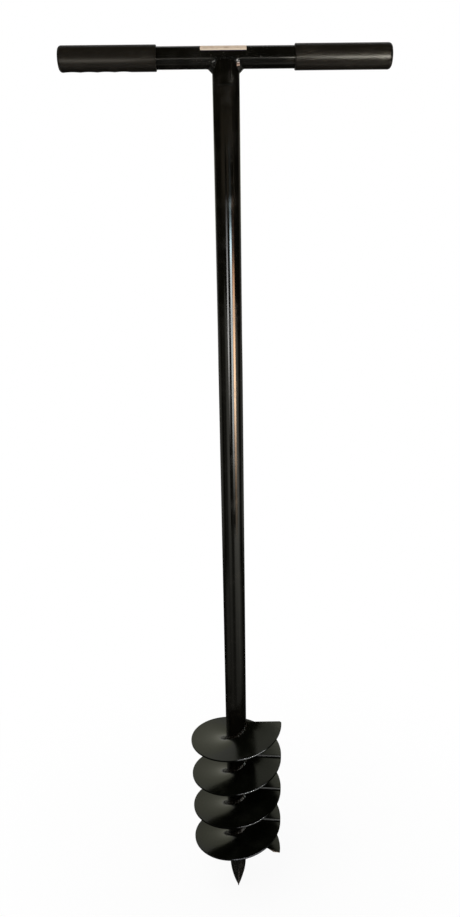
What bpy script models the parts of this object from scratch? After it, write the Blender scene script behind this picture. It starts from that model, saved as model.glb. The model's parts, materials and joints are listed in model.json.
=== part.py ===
"""Hand earth auger: a welded steel T-handle, a straight tube shaft and four helical flights over a point.

Metres, +Z up. The shaft stands on the world's Z axis with the point's tip at the origin,
and the handle tube lies along X. The screw is right-handed: seen from above, the flights
go round clockwise as they sink.
"""

import math

import bmesh
import bpy
from mathutils import Matrix, Vector

# Clearance left between two pieces that touch on the real tool
SEAT_GAP = 0.0003

# Shaft, a straight steel tube
SHAFT_RADIUS = 0.0167
SHAFT_WALL = 0.0025
SHAFT_LENGTH = 1.274
SHAFT_SIDES = 40

# Handle, a thinner tube across the top of the shaft
HANDLE_RADIUS = 0.0127
HANDLE_WALL = 0.002
HANDLE_SIDES = 32
TONGUE_RISE = 0.0005
HANDLE_BEAD_RADIUS = 0.0046
HANDLE_BEAD_FRONT_SHARE = 0.62
HANDLE_BEAD_POINTS = 56
HANDLE_BEAD_EASE = 0.75

# Grips, closed sleeves pushed over both ends of the handle tube
GRIP_SPAN = 0.400
GRIP_LENGTH = 0.117
GRIP_RADIUS = 0.0148
GRIP_END_WALL = 0.002
GRIP_END_ROUND = 0.0045
GRIP_ROUND_STEPS = 4
GRIP_MOUTH_CHAMFER = 0.0008
GRIP_SIDES = 32
GROOVE_COUNT = 4
GROOVE_PITCH = 0.0206
GROOVE_DEPTH = 0.0007
GROOVE_START = 0.0045
GROOVE_CUTTER_SIDES = 96
LEFT_GRIP_TURN = 3
RIGHT_GRIP_TURN = 120

# Flights, four like plates of one turn, each laid over the start of the next, set from the shaft's foot
FLIGHT_COUNT = 4
FLIGHT_RADIUS = 0.075
FLIGHT_PLATE = 0.003
TURN_SPACING = 0.070
LAST_EDGE_RISE = 0.0115
SEAM_ANGLE = -6.3
SEAM_LAP = 5.0
FLIGHT_STEP = 9.0
FLIGHT_RINGS = (0.030, 0.045, 0.060)
TOP_CORNER_CUT = 0.0025

# Cutting edge at the foot of the last flight: a proud outer tooth, ground thin from beneath
TOOTH_ANGLE = 4.5
TOOTH_WIDTH = 0.012
TOOTH_SLOPE_WIDTH = 0.011
EDGE_SETBACK_ANGLE = 2.0
EDGE_LAND = 0.0009
EDGE_GRIND_ANGLE = 12.0
EDGE_GRIND_LENGTH = 0.030

# Welds
FLIGHT_BEAD_LEG = 0.0042
FLIGHT_BEAD_HEIGHT = 0.0046
FLIGHT_BEAD_CROWN_OUT = 0.0026
FLIGHT_BEAD_CROWN_UP = 0.0028
FLIGHT_BEAD_START = 3.0
UNDERSIDE_GAP = 0.0004
SEAM_BEAD_LEG = 0.0030
SEAM_BEAD_HEIGHT = 0.0024
SEAM_BEAD_CROWN_OUT = 0.0021
SEAM_BEAD_CROWN_DOWN = 0.0018
SEAM_BEAD_GAP = 0.0006
SEAM_BEAD_STATIONS = 7
SEAM_BEAD_END_MARGIN = 0.004
POINT_BEAD_SWELL = 0.0005
POINT_BEAD_DEPTH = 0.0044
POINT_BEAD_STEPS = 4

# Pilot point, a forged spike whose round shank is set into the foot of the shaft
POINT_LENGTH = 0.080
POINT_SHANK_LENGTH = 0.018
POINT_SHOULDER_DROP = 0.006
POINT_FACETED_SHARE = 0.62
POINT_OGIVE_POWER = 2.1
POINT_TIP_RADIUS = 0.0009
POINT_RIDGE_TURN = 4.0
POINT_RINGS = 12
POINT_RING_EASE = 1.3
POINT_SIDES = 24

SHAFT_BORE = SHAFT_RADIUS - SHAFT_WALL
SHAFT_FOOT_HEIGHT = POINT_LENGTH
SHAFT_TOP_HEIGHT = SHAFT_FOOT_HEIGHT + SHAFT_LENGTH
HANDLE_HEIGHT = SHAFT_TOP_HEIGHT - TONGUE_RISE

# One plate drops, in one turn, the turn spacing less the plate that it is laid over
FLIGHT_BORE = SHAFT_RADIUS + SEAT_GAP
SPACING_SLOPE = math.atan(TURN_SPACING / (2 * math.pi * FLIGHT_BORE))
FLIGHT_PITCH = TURN_SPACING - (FLIGHT_PLATE + SEAT_GAP) / math.cos(SPACING_SLOPE)
FLIGHT_TOP_HEIGHT = SHAFT_FOOT_HEIGHT + LAST_EDGE_RISE + (FLIGHT_COUNT - 1) * TURN_SPACING + FLIGHT_PITCH


def clear_scene():
    for old in list(bpy.data.objects):
        bpy.data.objects.remove(old)


def new_collection(name):
    collection = bpy.data.collections.new(name)
    bpy.context.scene.collection.children.link(collection)
    return collection


def material(name, colour, roughness, metallic):
    made = bpy.data.materials.new(name)
    made.use_nodes = True
    shader = made.node_tree.nodes["Principled BSDF"]
    shader.inputs["Base Color"].default_value = (*colour, 1.0)
    shader.inputs["Roughness"].default_value = roughness
    shader.inputs["Metallic"].default_value = metallic
    return made


def place(mesh, name, finish, collection):
    """Put a mesh into the scene as one named piece."""
    mesh.name = name
    piece = bpy.data.objects.new(name, mesh)
    collection.objects.link(piece)
    if finish is not None:
        mesh.materials.append(finish)
    return piece


def as_cutter(piece):
    piece.hide_render = True
    piece.display_type = "WIRE"
    return piece


def smooth(mesh, angle=35):
    mesh.shade_smooth()
    mesh.set_sharp_from_angle(angle=math.radians(angle))


def turned(name, outline, sides, finish, collection, closed):
    """Turn an outline of (radius, height) points, listed down the outside, about Z."""
    bm = bmesh.new()
    points = [bm.verts.new((radius, 0.0, height)) for radius, height in outline]
    pairs = list(zip(points, points[1:]))
    if closed:
        pairs.append((points[-1], points[0]))
    for pair in pairs:
        bm.edges.new(pair)
    mesh = bpy.data.meshes.new(name)
    bm.to_mesh(mesh)
    bm.free()
    piece = place(mesh, name, finish, collection)
    screw = piece.modifiers.new("turn", "SCREW")
    screw.steps = sides
    screw.render_steps = sides
    screw.use_merge_vertices = True
    screw.merge_threshold = 0.00001
    return piece


def place_curve(path):
    guide = bpy.data.objects.new(path.name, path)
    bpy.context.scene.collection.objects.link(guide)
    bpy.context.view_layer.update()
    return guide


def cut(piece, cutter, name, solver="EXACT"):
    boolean = piece.modifiers.new(name, "BOOLEAN")
    boolean.operation = "DIFFERENCE"
    boolean.solver = solver
    boolean.object = cutter


def rod_cutter(name, radius, length, sides, collection):
    """A solid rod along its own Z, centred, for cutting."""
    bm = bmesh.new()
    bmesh.ops.create_cone(bm, cap_ends=True, segments=sides, radius1=radius, radius2=radius, depth=length)
    mesh = bpy.data.meshes.new(name)
    bm.to_mesh(mesh)
    bm.free()
    return as_cutter(place(mesh, name, None, collection))


def prism_cutter(name, outline, low, high, collection):
    """An upright prism over a flat outline of (x, y) points, for cutting."""
    bm = bmesh.new()
    base = bm.faces.new([bm.verts.new((x, y, low)) for x, y in outline])
    grown = bmesh.ops.extrude_face_region(bm, geom=[base])
    lifted = [item for item in grown["geom"] if isinstance(item, bmesh.types.BMVert)]
    bmesh.ops.translate(bm, verts=lifted, vec=(0.0, 0.0, high - low))
    bmesh.ops.recalc_face_normals(bm, faces=bm.faces)
    mesh = bpy.data.meshes.new(name)
    bm.to_mesh(mesh)
    bm.free()
    return as_cutter(place(mesh, name, None, collection))


def loft(name, rings, finish, collection):
    """Bridge rings of matching points and close both ends."""
    bm = bmesh.new()
    rows = [[bm.verts.new(point) for point in ring] for ring in rings]
    count = len(rows[0])
    for lower, upper in zip(rows, rows[1:]):
        for side in range(count):
            after = (side + 1) % count
            bm.faces.new((lower[side], lower[after], upper[after], upper[side]))
    bm.faces.new(rows[0])
    bm.faces.new(rows[-1])
    bmesh.ops.recalc_face_normals(bm, faces=bm.faces)
    mesh = bpy.data.meshes.new(name)
    bm.to_mesh(mesh)
    bm.free()
    smooth(mesh)
    return place(mesh, name, finish, collection)


def polar(radius, degrees):
    return radius * math.cos(math.radians(degrees)), radius * math.sin(math.radians(degrees))


# Shaft
def build_shaft(finish, parts, cutters):
    """The tube, notched at the top so that the handle tube lies across it."""
    outline = [(SHAFT_RADIUS, SHAFT_TOP_HEIGHT), (SHAFT_RADIUS, SHAFT_FOOT_HEIGHT),
               (SHAFT_BORE, SHAFT_FOOT_HEIGHT), (SHAFT_BORE, SHAFT_TOP_HEIGHT)]
    shaft = turned("shaft_tube", outline, SHAFT_SIDES, finish, parts, closed=True)
    notch = rod_cutter("shaft_notch", HANDLE_RADIUS + SEAT_GAP, 4 * SHAFT_RADIUS, HANDLE_SIDES * 2, cutters)
    notch.rotation_euler = (0.0, math.radians(90), 0.0)
    notch.location = (0.0, 0.0, HANDLE_HEIGHT)
    cut(shaft, notch, "handle notch")


# Handle
def build_handle(finish, parts):
    """The cross tube, open inside, ending just short of the grips' closed ends."""
    half = GRIP_SPAN / 2 - GRIP_END_WALL - SEAT_GAP
    bore = HANDLE_RADIUS - HANDLE_WALL
    outline = [(HANDLE_RADIUS, half), (HANDLE_RADIUS, -half), (bore, -half), (bore, half)]
    handle = turned("handle_tube", outline, HANDLE_SIDES, finish, parts, closed=True)
    handle.rotation_euler = (0.0, math.radians(90), 0.0)
    handle.location = (0.0, 0.0, HANDLE_HEIGHT)


def saddle_point(turn):
    """A point near the line where the shaft's outside meets the handle, eased over the notch's corners."""
    x, y = polar(SHAFT_RADIUS, turn)
    notch = HANDLE_RADIUS + SEAT_GAP
    drop = notch * max(1 - (y / notch) ** 2, 0.0) ** HANDLE_BEAD_EASE
    return x, y, HANDLE_HEIGHT - drop


def build_handle_weld(finish, parts, cutters):
    """One bead all round the joint, fat in the two corners and thinner over the shaft's tongues."""
    path = bpy.data.curves.new("handle_weld_path", "CURVE")
    path.dimensions = "3D"
    path.bevel_depth = HANDLE_BEAD_RADIUS
    path.bevel_resolution = 2
    line = path.splines.new("POLY")
    line.points.add(HANDLE_BEAD_POINTS - 1)
    line.use_cyclic_u = True
    for index, point in enumerate(line.points):
        turn = 360 * index / HANDLE_BEAD_POINTS
        point.co = (*saddle_point(turn), 1.0)
        side = math.cos(math.radians(turn)) ** 2
        point.radius = HANDLE_BEAD_FRONT_SHARE + (1 - HANDLE_BEAD_FRONT_SHARE) * side
    guide = place_curve(path)
    graph = bpy.context.evaluated_depsgraph_get()
    mesh = bpy.data.meshes.new_from_object(guide.evaluated_get(graph))
    bpy.data.objects.remove(guide)
    mesh.materials.clear()
    smooth(mesh)
    bead = place(mesh, "handle_weld", finish, parts)
    reach = 4 * (HANDLE_RADIUS + HANDLE_BEAD_RADIUS)
    below = rod_cutter("weld_shaft_room", SHAFT_RADIUS + SEAT_GAP, reach, SHAFT_SIDES, cutters)
    below.location = (0.0, 0.0, SHAFT_TOP_HEIGHT + SEAT_GAP - reach / 2)
    across = rod_cutter("weld_handle_room", HANDLE_RADIUS + SEAT_GAP, 4 * SHAFT_RADIUS, HANDLE_SIDES, cutters)
    across.rotation_euler = (0.0, math.radians(90), 0.0)
    across.location = (0.0, 0.0, HANDLE_HEIGHT)
    cut(bead, below, "room for the shaft")
    cut(bead, across, "room for the handle")


# Grips
def grip_outline():
    """The sleeve's section from its closed end round to the mouth, with the end at height 0."""
    bore = HANDLE_RADIUS + SEAT_GAP
    outline = [(0.0, 0.0)]
    for index in range(GRIP_ROUND_STEPS + 1):
        turn = math.radians(90 - 90 * index / GRIP_ROUND_STEPS)
        radius = GRIP_RADIUS - GRIP_END_ROUND * (1 - math.cos(turn))
        height = -GRIP_END_ROUND * (1 - math.sin(turn))
        outline.append((radius, height))
    outline.append((GRIP_RADIUS, GRIP_MOUTH_CHAMFER - GRIP_LENGTH))
    outline.append((GRIP_RADIUS - GRIP_MOUTH_CHAMFER, -GRIP_LENGTH))
    outline.append((bore, -GRIP_LENGTH))
    outline.append((bore, -GRIP_END_WALL))
    outline.append((0.0, -GRIP_END_WALL))
    return outline


def build_grip(name, side, turn, finish, parts, cutters):
    """A closed sleeve with finger grooves; side is +1 at the handle's +X end and -1 at the other."""
    grip = turned(name, grip_outline(), GRIP_SIDES, finish, parts, closed=False)
    grip.rotation_euler = (0.0, math.radians(90 * side), 0.0)
    end = side * GRIP_SPAN / 2
    grip.location = (end, 0.0, HANDLE_HEIGHT)
    sweep = ((GROOVE_PITCH / 2) ** 2 + GROOVE_DEPTH ** 2) / (2 * GROOVE_DEPTH)
    for index in range(GROOVE_COUNT):
        along = end - side * (GROOVE_START + GROOVE_PITCH * (index + 0.5))
        cutter_name = f"{name}_groove_{index + 1}"
        roller = rod_cutter(cutter_name, sweep, 4 * GRIP_RADIUS, GROOVE_CUTTER_SIDES, cutters)
        down = sweep + GRIP_RADIUS - GROOVE_DEPTH
        spin = Matrix.Rotation(math.radians(turn), 4, "X")
        lift = Matrix.Translation((along, 0.0, HANDLE_HEIGHT))
        drop = Matrix.Translation((0.0, 0.0, -down))
        lay = Matrix.Rotation(math.radians(90), 4, "X")
        roller.matrix_world = lift @ spin @ drop @ lay
        cut(grip, roller, f"groove {index + 1}")


# Flights
def slope_at(radius):
    return math.atan(FLIGHT_PITCH / (2 * math.pi * radius))


def upright_plate(radius):
    """The plate's thickness measured straight down at a radius."""
    return FLIGHT_PLATE / math.cos(slope_at(radius))


def flight_height(turn, angle):
    """The top of a turn's plate, with the angle in degrees past the seam line."""
    return FLIGHT_TOP_HEIGHT - TURN_SPACING * turn - FLIGHT_PITCH * angle / 360


def sweep_section(name, section, turn, first, last, finish, parts):
    """Swing an upright section of (radius, rise) points round the shaft along one turn's helix."""
    steps = max(2, round((last - first) / FLIGHT_STEP))
    height = flight_height(turn, first)
    aim = math.radians(SEAM_ANGLE - first)
    bm = bmesh.new()
    corners = []
    for radius, rise in section:
        corners.append(bm.verts.new((radius * math.cos(aim), radius * math.sin(aim), height + rise)))
    face = bm.faces.new(corners)
    drop = FLIGHT_PITCH * (last - first) / 360 / steps
    bmesh.ops.spin(bm, geom=[face], cent=(0, 0, 0), axis=(0, 0, 1), dvec=(0, 0, -drop),
                   angle=-math.radians(last - first), steps=steps, use_duplicate=False)
    bmesh.ops.recalc_face_normals(bm, faces=bm.faces)
    mesh = bpy.data.meshes.new(name)
    bm.to_mesh(mesh)
    bm.free()
    smooth(mesh)
    return place(mesh, name, finish, parts)


def plate_section():
    """The plate cut upright along a radius, thicker upright towards the bore where it is steep."""
    toe = FLIGHT_BORE + FLIGHT_BEAD_LEG
    radii = (FLIGHT_BORE, toe, *FLIGHT_RINGS, FLIGHT_RADIUS)
    top = [(radius, 0.0) for radius in radii]
    return top + [(radius, -upright_plate(radius)) for radius in reversed(radii)]


def build_flights(finish, parts, cutters):
    """The plates. The last one is cut with MANIFOLD, because EXACT loses it at some flight radii."""
    for turn in range(FLIGHT_COUNT):
        last = 360.0 + TOOTH_ANGLE if turn == FLIGHT_COUNT - 1 else 360.0
        flight = sweep_section(f"flight_{turn + 1}", plate_section(), turn, -SEAM_LAP, last, finish, parts)
        if turn == 0:
            cut(flight, top_corner_cutter(cutters), "blunted corner")
        if turn == FLIGHT_COUNT - 1:
            cut(flight, edge_grind_cutter(cutters), "ground edge", "MANIFOLD")
            cut(flight, edge_shape_cutter(cutters), "edge outline", "MANIFOLD")


def top_corner_cutter(cutters):
    """A block across the first plate's outer corner."""
    aim = Matrix.Rotation(math.radians(SEAM_ANGLE + SEAM_LAP), 4, "Z")
    reach = 4 * TOP_CORNER_CUT
    corners = [(FLIGHT_RADIUS - TOP_CORNER_CUT, reach), (FLIGHT_RADIUS - TOP_CORNER_CUT, 0.0),
               (FLIGHT_RADIUS, -TOP_CORNER_CUT), (FLIGHT_RADIUS + reach, -TOP_CORNER_CUT),
               (FLIGHT_RADIUS + reach, reach)]
    outline = [(aim @ Vector((x, y, 0.0))).to_2d() for x, y in corners]
    low = FLIGHT_TOP_HEIGHT - TURN_SPACING / 4
    return prism_cutter("top_corner", outline, low, FLIGHT_TOP_HEIGHT + TURN_SPACING / 4, cutters)


def edge_shape_cutter(cutters):
    """What is taken off the last plate inside the tooth, so that the tooth leads."""
    aim = SEAM_ANGLE - 360
    tooth_side = FLIGHT_RADIUS - TOOTH_WIDTH
    slope_side = tooth_side - TOOTH_SLOPE_WIDTH
    beyond = FLIGHT_STEP * 2
    outline = [polar(SHAFT_RADIUS / 2, aim + EDGE_SETBACK_ANGLE), polar(slope_side, aim + EDGE_SETBACK_ANGLE),
               polar(tooth_side, aim - TOOTH_ANGLE), polar(tooth_side, aim - beyond),
               polar(SHAFT_RADIUS / 2, aim - beyond)]
    end = flight_height(FLIGHT_COUNT - 1, 360)
    return prism_cutter("edge_outline", outline, end - TURN_SPACING / 4, end + TURN_SPACING / 4, cutters)


def edge_grind_cutter(cutters):
    """A slab whose sloping top takes the underside off the last plate behind its leading edge."""
    angle = 360 + TOOTH_ANGLE
    end = flight_height(FLIGHT_COUNT - 1, angle) - EDGE_LAND
    bm = bmesh.new()
    bmesh.ops.create_cube(bm, size=1.0)
    depth = TURN_SPACING / 4
    bmesh.ops.scale(bm, vec=(FLIGHT_RADIUS - SHAFT_RADIUS, EDGE_GRIND_LENGTH, depth), verts=bm.verts)
    bmesh.ops.translate(bm, vec=((FLIGHT_RADIUS + 2 * SHAFT_RADIUS) / 2, 0.0, -depth / 2), verts=bm.verts)
    mesh = bpy.data.meshes.new("edge_grind")
    bm.to_mesh(mesh)
    bm.free()
    slab = as_cutter(place(mesh, "edge_grind", None, cutters))
    tilt = Matrix.Rotation(math.radians(-EDGE_GRIND_ANGLE), 4, "X")
    aim = Matrix.Rotation(math.radians(SEAM_ANGLE - angle), 4, "Z")
    slab.matrix_world = Matrix.Translation((0.0, 0.0, end)) @ aim @ tilt
    return slab


# Flight welds
def bead_section(rise, sign):
    """A fillet in the corner between the plate and the shaft, above it (+1) or below it (-1)."""
    foot = rise(FLIGHT_BORE)
    toe = rise(FLIGHT_BORE + FLIGHT_BEAD_LEG)
    return [(FLIGHT_BORE, foot), (FLIGHT_BORE + FLIGHT_BEAD_LEG, toe),
            (FLIGHT_BORE + FLIGHT_BEAD_CROWN_OUT, foot + sign * FLIGHT_BEAD_CROWN_UP),
            (FLIGHT_BORE, foot + sign * FLIGHT_BEAD_HEIGHT)]


def build_flight_welds(finish, parts):
    """A bead above and a bead below each plate along its bore, stopping short of the laps."""
    tilt = math.cos(slope_at(FLIGHT_BORE))
    above = bead_section(lambda radius: SEAT_GAP / tilt, 1)
    below = bead_section(lambda radius: -upright_plate(radius) - UNDERSIDE_GAP / tilt, -1)
    for turn in range(FLIGHT_COUNT):
        is_last = turn == FLIGHT_COUNT - 1
        end = 360.0 - EDGE_SETBACK_ANGLE - FLIGHT_BEAD_START
        upper_end = end if is_last else 360.0 - FLIGHT_BEAD_START
        lower_end = end if is_last else 360.0 - SEAM_LAP - FLIGHT_BEAD_START
        lower_start = FLIGHT_BEAD_START - SEAM_LAP
        upper_start = lower_start if turn == 0 else FLIGHT_BEAD_START
        name = f"flight_{turn + 1}"
        sweep_section(f"{name}_upper_weld", above, turn, upper_start, upper_end, finish, parts)
        sweep_section(f"{name}_lower_weld", below, turn, lower_start, lower_end, finish, parts)


def build_seam_welds(finish, parts):
    """A bead under each lap, in the corner between the upper plate and the end of the lower one."""
    inner = FLIGHT_BORE + FLIGHT_BEAD_LEG + SEAM_BEAD_END_MARGIN
    outer = FLIGHT_RADIUS - SEAM_BEAD_END_MARGIN / 2
    for turn in range(FLIGHT_COUNT - 1):
        rings = []
        for index in range(SEAM_BEAD_STATIONS):
            radius = inner + (outer - inner) * index / (SEAM_BEAD_STATIONS - 1)
            rings.append(seam_bead_ring(turn, radius))
        loft(f"seam_weld_{turn + 1}", rings, finish, parts)


def seam_bead_ring(turn, radius):
    """The bead's section at one radius, square to the plates' slope there."""
    slope = slope_at(radius)
    past = 360 - SEAM_LAP
    aim = math.radians(SEAM_ANGLE - past)
    under = flight_height(turn, past) - upright_plate(radius)
    corner = Vector((radius * math.cos(aim), radius * math.sin(aim), under))
    back = Vector((-math.sin(aim), math.cos(aim), 0.0))
    up_slope = back * math.cos(slope) + Vector((0.0, 0.0, math.sin(slope)))
    out = back * math.sin(slope) - Vector((0.0, 0.0, math.cos(slope)))
    start = SEAM_BEAD_GAP + SEAM_BEAD_LEG * math.tan(slope)
    crown = (SEAM_BEAD_CROWN_OUT, SEAM_BEAD_CROWN_DOWN)
    spots = ((0.0, 0.0), (SEAM_BEAD_LEG, 0.0), crown, (0.0, SEAM_BEAD_HEIGHT))
    return [corner + up_slope * (start + along) + out * (SEAM_BEAD_GAP + down) for along, down in spots]


# Pilot point
def point_radius(height):
    """The spike's radius over a ridge at a height above the tip."""
    shoulder = SHAFT_FOOT_HEIGHT - POINT_SHOULDER_DROP
    shank = SHAFT_BORE - SEAT_GAP
    left = min(max(1 - height / shoulder, 0.0), 1.0)
    return max(shank * (1 - left ** POINT_OGIVE_POWER), POINT_TIP_RADIUS)


def point_ring(height, radius, squareness):
    """A section that goes from round to four-sided as squareness goes from 0 to 1."""
    ring = []
    for side in range(POINT_SIDES):
        turn = 2 * math.pi * side / POINT_SIDES
        four_sided = radius / (abs(math.cos(turn)) + abs(math.sin(turn)))
        reach = radius + (four_sided - radius) * squareness
        aim = turn + math.radians(POINT_RIDGE_TURN)
        ring.append((reach * math.cos(aim), reach * math.sin(aim), height))
    return ring


def build_point(finish, parts):
    """The forged spike: round shank, then four facets drawn down to a blunt tip."""
    shoulder = SHAFT_FOOT_HEIGHT - POINT_SHOULDER_DROP
    rings = []
    for index in range(POINT_RINGS + 1):
        height = shoulder * (index / POINT_RINGS) ** POINT_RING_EASE
        share = min(height / (shoulder * POINT_FACETED_SHARE), 1.0)
        rings.append(point_ring(height, point_radius(height), 1 - share * share * (3 - 2 * share)))
    rings.append(point_ring(SHAFT_FOOT_HEIGHT + POINT_SHANK_LENGTH, SHAFT_BORE - SEAT_GAP, 0.0))
    loft("pilot_point", rings, finish, parts)


def build_point_weld(finish, parts):
    """A ring bead below the shaft's foot, against the point's shank."""
    foot = SHAFT_FOOT_HEIGHT - SEAT_GAP
    across = SHAFT_WALL + POINT_BEAD_SWELL
    outline = [(SHAFT_BORE, foot)]
    for index in range(POINT_BEAD_STEPS + 1):
        radius, drop = polar(1.0, 90 * index / POINT_BEAD_STEPS)
        outline.append((SHAFT_BORE + across * radius, foot - POINT_BEAD_DEPTH * drop))
    ring = turned("point_weld", outline, SHAFT_SIDES, finish, parts, closed=True)
    smooth(ring.data)


clear_scene()
auger_parts = new_collection("hand_earth_auger")
auger_cutters = new_collection("cutters")
black_paint = material("black_gloss_paint", (0.016, 0.015, 0.013), 0.28, 0.0)
painted_weld = material("painted_weld", (0.020, 0.018, 0.016), 0.36, 0.0)
black_rubber = material("black_rubber", (0.018, 0.017, 0.016), 0.62, 0.0)
worn_steel = material("worn_painted_steel", (0.055, 0.046, 0.038), 0.42, 0.4)

build_shaft(black_paint, auger_parts, auger_cutters)
build_handle(black_paint, auger_parts)
build_handle_weld(painted_weld, auger_parts, auger_cutters)
build_grip("left_grip", -1, LEFT_GRIP_TURN, black_rubber, auger_parts, auger_cutters)
build_grip("right_grip", 1, RIGHT_GRIP_TURN, black_rubber, auger_parts, auger_cutters)
build_flights(black_paint, auger_parts, auger_cutters)
build_flight_welds(painted_weld, auger_parts)
build_seam_welds(painted_weld, auger_parts)
build_point(worn_steel, auger_parts)
build_point_weld(painted_weld, auger_parts)
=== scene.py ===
import json
from math import atan, atan2, cos, hypot, radians, sin, sqrt, tan, tau

import bmesh
import bpy
from mathutils import Matrix, Vector

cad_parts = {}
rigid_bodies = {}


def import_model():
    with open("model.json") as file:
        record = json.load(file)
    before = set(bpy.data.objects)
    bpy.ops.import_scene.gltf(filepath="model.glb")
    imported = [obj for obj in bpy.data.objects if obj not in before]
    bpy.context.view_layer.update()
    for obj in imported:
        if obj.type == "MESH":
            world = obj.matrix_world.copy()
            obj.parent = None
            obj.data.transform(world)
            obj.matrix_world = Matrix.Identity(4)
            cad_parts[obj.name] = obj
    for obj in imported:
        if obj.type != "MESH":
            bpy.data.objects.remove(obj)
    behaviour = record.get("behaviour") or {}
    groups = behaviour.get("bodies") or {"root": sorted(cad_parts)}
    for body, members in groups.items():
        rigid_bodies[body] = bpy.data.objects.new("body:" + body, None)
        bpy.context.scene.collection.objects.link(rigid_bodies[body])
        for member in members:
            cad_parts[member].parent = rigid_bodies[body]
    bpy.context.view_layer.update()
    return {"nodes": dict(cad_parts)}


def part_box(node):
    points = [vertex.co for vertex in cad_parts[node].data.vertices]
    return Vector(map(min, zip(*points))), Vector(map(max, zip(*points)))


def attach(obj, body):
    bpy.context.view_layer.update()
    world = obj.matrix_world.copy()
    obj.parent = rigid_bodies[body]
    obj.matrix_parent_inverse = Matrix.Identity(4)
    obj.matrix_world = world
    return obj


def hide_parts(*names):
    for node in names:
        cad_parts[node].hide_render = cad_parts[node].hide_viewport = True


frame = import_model()


# Shaft tube.
# A length of 33.4 mm steel tube in glossy black paint, saddled at the top for the handle to lie
# across. The paint is sprayed on, so its gloss has a fine orange peel and a few dull patches.
class Wire:
    """A socket of a node tree, which arithmetic can be written on."""

    def __init__(self, bench, socket):
        self.bench = bench
        self.socket = socket

    def __add__(self, other):
        return self.bench.maths("ADD", self, other)

    def __sub__(self, other):
        return self.bench.maths("SUBTRACT", self, other)

    def __rsub__(self, other):
        return self.bench.maths("SUBTRACT", other, self)

    def __mul__(self, other):
        return self.bench.maths("MULTIPLY", self, other)

    def __truediv__(self, other):
        return self.bench.maths("DIVIDE", self, other)

    def __pow__(self, other):
        return self.bench.maths("POWER", self, other)

    def __neg__(self):
        return self.bench.maths("MULTIPLY", self, -1.0)

    def __abs__(self):
        return self.bench.maths("ABSOLUTE", self)

    __radd__ = __add__
    __rmul__ = __mul__


class Bench:
    """A shader or geometry tree while it is being built, and the shader node that it feeds."""

    def __init__(self, tree, shader=""):
        self.tree = tree
        self.shader = tree.nodes.get(shader)

    def node(self, kind, settings=None, values=None, out=0):
        """A new node, set and fed; gives a wire from one of its outputs."""
        made = self.tree.nodes.new(kind)
        for name, value in (settings or {}).items():
            setattr(made, name, value)
        for name, value in (values or {}).items():
            self.feed(made.inputs[name], value)
        return Wire(self, made.outputs[out])

    def feed(self, socket, value):
        if isinstance(value, Wire):
            self.tree.links.new(value.socket, socket)
        elif isinstance(value, tuple) and socket.type == "RGBA":
            socket.default_value = (*value, 1.0)
        else:
            socket.default_value = value

    def set(self, **values):
        """Feed the shader's sockets, named with underscores for spaces."""
        for name, value in values.items():
            self.feed(self.shader.inputs[name.replace("_", " ")], value)

    def maths(self, operation, *terms):
        return self.node("ShaderNodeMath", {"operation": operation}, dict(enumerate(terms)))

    def least(self, one, other):
        return self.maths("MINIMUM", one, other)

    def most(self, one, other):
        return self.maths("MAXIMUM", one, other)

    def rise(self, value, low, high):
        """0 up to low, 1 from high on, and smooth between them."""
        return self.node("ShaderNodeMapRange", {"interpolation_type": "SMOOTHSTEP"},
                         {"Value": value, "From Min": low, "From Max": high})

    def fall(self, value, low, high):
        """1 up to low, 0 from high on, and smooth between them."""
        return 1.0 - self.rise(value, low, high)

    def band(self, value, low, up, down, high, share=1.0):
        """0 outside low and high, the share from up to down, and smooth between."""
        return self.rise(value, low, up) * self.fall(value, down, high) * share

    def noise(self, where, scale, detail=3.0, roughness=0.55):
        return self.node("ShaderNodeTexNoise", None,
                         {"Vector": where, "Scale": scale, "Detail": detail, "Roughness": roughness})

    def blend(self, share, first, second):
        """A mix of two colours."""
        return self.node("ShaderNodeMix", {"data_type": "RGBA"}, {0: share, 6: first, 7: second}, out=2)

    def bump(self, height, strength, distance, under=None):
        values = {"Height": height, "Strength": strength, "Distance": distance}
        if under is not None:
            values["Normal"] = under
        return self.node("ShaderNodeBump", None, values)

    def parts(self, vector):
        split = self.node("ShaderNodeSeparateXYZ", None, {"Vector": vector}).socket.node
        return [Wire(self, split.outputs[axis]) for axis in range(3)]

    def point(self, x, y, z):
        return self.node("ShaderNodeCombineXYZ", None, {"X": x, "Y": y, "Z": z})


def start_finish(name):
    """An empty material, its bench and the object's own coordinates."""
    finish = bpy.data.materials.new(name)
    finish.use_nodes = True
    bench = Bench(finish.node_tree, "Principled BSDF")
    return finish, bench, bench.node("ShaderNodeTexCoord", out=3)


MERGE = 0.000002
SMOOTH_UP_TO = radians(38)


def put(name, data):
    """A new object in the scene that shows the data."""
    made = bpy.data.objects.new(name, data)
    bpy.context.scene.collection.objects.link(made)
    return made


def finish_piece(name, mesh, finish, nodes):
    """Show a mesh as a piece of the tool, in place of CAD nodes."""
    for face in mesh.polygons:
        face.use_smooth = True
    mesh.set_sharp_from_angle(angle=SMOOTH_UP_TO)
    mesh.name = name
    mesh.materials.clear()
    mesh.materials.append(finish)
    piece = put(name, mesh)
    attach(piece, "root")
    if nodes:
        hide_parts(*nodes)


def settle(piece):
    """Turn an object with modifiers into a plain mesh and take the object away."""
    graph = bpy.context.evaluated_depsgraph_get()
    graph.update()
    mesh = bpy.data.meshes.new_from_object(piece.evaluated_get(graph))
    bpy.data.objects.remove(piece)
    return mesh


def mesh_of(bm, name):
    """The mesh of a bmesh, its faces turned outwards."""
    bmesh.ops.recalc_face_normals(bm, faces=bm.faces)
    mesh = bpy.data.meshes.new(name)
    bm.to_mesh(mesh)
    bm.free()
    return mesh


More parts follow.
